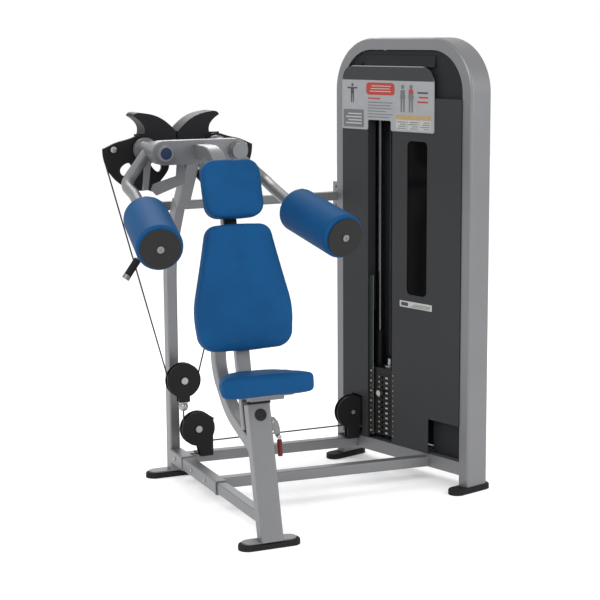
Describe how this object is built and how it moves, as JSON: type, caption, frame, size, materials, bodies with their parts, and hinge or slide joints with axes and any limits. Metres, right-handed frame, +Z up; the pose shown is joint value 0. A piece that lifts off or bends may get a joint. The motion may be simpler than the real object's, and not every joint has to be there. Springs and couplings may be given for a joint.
{
  "type": "seated lateral raise machine",
  "caption": "Seated shoulder raise machine: padded seat, two pivoting roller arms and a cable-linked weight tower.",
  "frame": {"origin": "on the floor at the centre of the seat post's foot", "axes": "+Z up; the user faces -Y; the weight tower stands on the +X side"},
  "size_m": [1.4239, 1.0481, 1.67],
  "materials": {
    "steel_paint": "silver metallic powder coat, satin",
    "black_rubber": "matt black rubber",
    "black_plastic": "moulded black plastic",
    "charcoal_panel": "charcoal shroud, fine satin",
    "blue_vinyl": "blue upholstery vinyl, soft sheen",
    "bright_steel": "polished steel",
    "black_metal": "black painted steel, satin",
    "cable_black": "black coated steel cable",
    "red_grip": "dark red dipped grip",
    "label_print": "printed label",
    "smoked_window": "smoked clear plastic",
    "blue_plug": "dark blue plug"
  },
  "bodies": {
    "frame": {"back_pad": "blue_vinyl", "back_spine": "steel_paint", "back_tubes": "steel_paint", "base_cable": "cable_black", "base_sleeve": "steel_paint", "base_tube": "steel_paint", "bolts": "bright_steel", "drop_cable": "cable_black", "foot_boots": "black_rubber", "frame_plates": "steel_paint", "guide_rods": "bright_steel", "head_beam": "steel_paint", "head_pad": "blue_vinyl", "head_strut": "steel_paint", "hub_cap_inserts": "blue_plug", "labels": "label_print", "left_cam_cable": "cable_black", "pivot_axles": "steel_paint", "pivot_covers": "black_plastic", "placard": "label_print", "post_disc": "black_plastic", "pulley_guards": "black_metal", "rear_upright": "steel_paint", "resting_plates": "black_metal", "right_cam_cable": "cable_black", "rubber_bumpers": "black_rubber", "seat_brackets": "black_metal", "seat_guide_bush": "black_plastic", "seat_post": "steel_paint", "stack_cable": "cable_black", "tie_beams": "steel_paint", "tower_arch": "steel_paint", "tower_base": "steel_paint", "tower_hood": "charcoal_panel", "tower_panels": "charcoal_panel", "tower_window": "smoked_window"},
    "seat": {"seat_stem": "steel_paint", "seat_cushion": "blue_vinyl"},
    "seat_lever_body": {"seat_lever": "bright_steel", "seat_lever_grip": "red_grip"},
    "left_arm_body": {"left_arm": "steel_paint", "left_cam": "black_metal", "left_grip": "black_rubber"},
    "right_arm_body": {"right_arm": "steel_paint", "right_cam": "black_metal"},
    "left_roller": {"left_roller_pad": "blue_vinyl", "left_roller_cap": "black_plastic"},
    "right_roller": {"right_roller_pad": "blue_vinyl", "right_roller_cap": "black_plastic"},
    "block": {"block_plates": "black_metal", "block_swivel": "bright_steel"},
    "block_wheel": {"block_pulley": "black_plastic"},
    "lower_wheel": {"lower_pulley": "black_plastic"},
    "base_wheel": {"base_pulley": "black_plastic"},
    "top_wheel": {"top_pulley": "black_plastic"},
    "stack": {"lifted_plates": "black_metal", "head_plate": "black_metal", "selector_stem": "bright_steel"},
    "pin": {"selector_pin": "bright_steel"}
  },
  "joints": [
    {"name": "left_arm_raise", "type": "hinge", "parent": "frame", "child": "left_arm_body", "pos_m": [-0.139, 0.74, 1.276], "axis": [0, 1, 0], "range_deg": [0, 75]},
    {"name": "right_arm_raise", "type": "hinge", "parent": "frame", "child": "right_arm_body", "pos_m": [0.139, 0.74, 1.276], "axis": [0, -1, 0], "range_deg": [0, 75.01]},
    {"name": "left_roller_spin", "type": "hinge", "parent": "left_arm_body", "child": "left_roller", "pos_m": [-0.2787, 0.3911, 1.0804], "axis": [-0.1604, -0.959, -0.2338], "continuous": true},
    {"name": "right_roller_spin", "type": "hinge", "parent": "right_arm_body", "child": "right_roller", "pos_m": [0.2787, 0.3911, 1.0804], "axis": [0.1604, -0.959, -0.2338], "continuous": true},
    {"name": "block_lift", "type": "slide", "parent": "frame", "child": "block", "axis": [0, 0, 1], "range_m": [0, 0.19655], "deforming": ["left_cam_cable", "right_cam_cable", "drop_cable"]},
    {"name": "block_wheel_spin", "type": "hinge", "parent": "block", "child": "block_wheel", "pos_m": [0, 0.836, 0.401], "axis": [0, 1, 0], "continuous": true},
    {"name": "lower_wheel_spin", "type": "hinge", "parent": "frame", "child": "lower_wheel", "pos_m": [0.054, 0.836, 0.209], "axis": [0, 1, 0], "range_deg": [-1, 210]},
    {"name": "base_wheel_spin", "type": "hinge", "parent": "frame", "child": "base_wheel", "pos_m": [0.702, 0.836, 0.209], "axis": [0, 1, 0], "range_deg": [-1, 210]},
    {"name": "top_wheel_spin", "type": "hinge", "parent": "frame", "child": "top_wheel", "pos_m": [0.78802, 0.78151, 1.53], "axis": [-0.8621, -0.5067, 0], "range_deg": [-1, 180]},
    {"name": "stack_lift", "type": "slide", "parent": "frame", "child": "stack", "axis": [0, 0, 1], "range_m": [0, 0.19655], "deforming": ["stack_cable"]},
    {"name": "pin_pull", "type": "slide", "parent": "stack", "child": "pin", "axis": [-0.9588, -0.284, 0], "range_m": [0, 0.07]},
    {"name": "seat_height", "type": "slide", "parent": "frame", "child": "seat", "axis": [0, 0.2402, 0.9707], "range_m": [0, 0.055]},
    {"name": "seat_lever_turn", "type": "hinge", "parent": "frame", "child": "seat_lever_body", "pos_m": [0.069, 0.07709, 0.352], "axis": [0, -1, 0], "range_deg": [0, 35], "stiffness_Nm_per_rad": 0.8}
  ],
  "couplings": [
    {"joint": "right_arm_raise", "follows": "left_arm_raise", "ratio": 1},
    {"joint": "block_lift", "follows": "left_arm_raise", "m_per_rad": 0.15},
    {"joint": "stack_lift", "follows": "left_arm_raise", "m_per_rad": 0.15},
    {"joint": "lower_wheel_spin", "follows": "left_arm_raise", "ratio": 2.7778},
    {"joint": "base_wheel_spin", "follows": "left_arm_raise", "ratio": 2.7778},
    {"joint": "top_wheel_spin", "follows": "left_arm_raise", "ratio": 2.3735}
  ]
}
